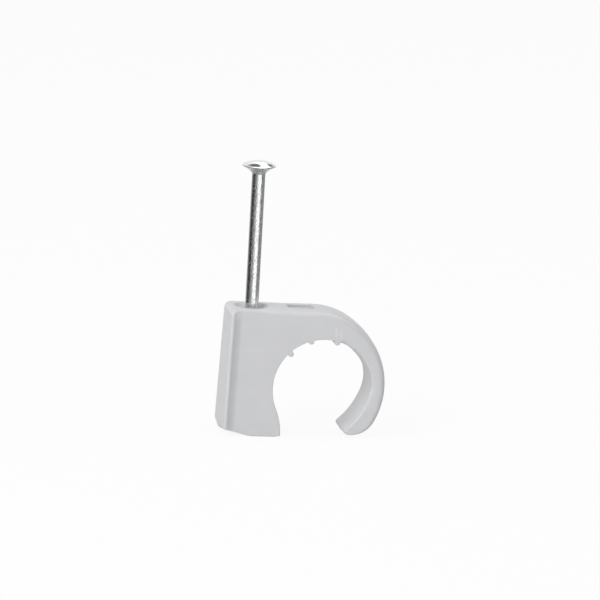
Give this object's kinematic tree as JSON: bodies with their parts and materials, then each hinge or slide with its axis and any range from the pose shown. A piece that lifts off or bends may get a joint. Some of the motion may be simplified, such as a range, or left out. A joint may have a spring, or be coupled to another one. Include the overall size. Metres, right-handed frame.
{
  "type": "nail-in round cable clip",
  "caption": "Moulded hook-shaped clip that holds one round cable to a wall, with a domed steel nail standing ready in its block.",
  "frame": {"origin": "on the wall plane, under the middle of the clip's box", "axes": "+Z out of the wall along the nail, +X from the nail end to the claw, Y along the cable"},
  "size_m": [0.0246, 0.0094, 0.0412],
  "materials": {
    "moulded_grey": "fine satin light grey moulding",
    "zinc_steel": "bright zinc-plated steel with fine drawing marks"
  },
  "bodies": {
    "root": {"clip_body": "moulded_grey", "nail": "zinc_steel"}
  },
  "joints": []
}
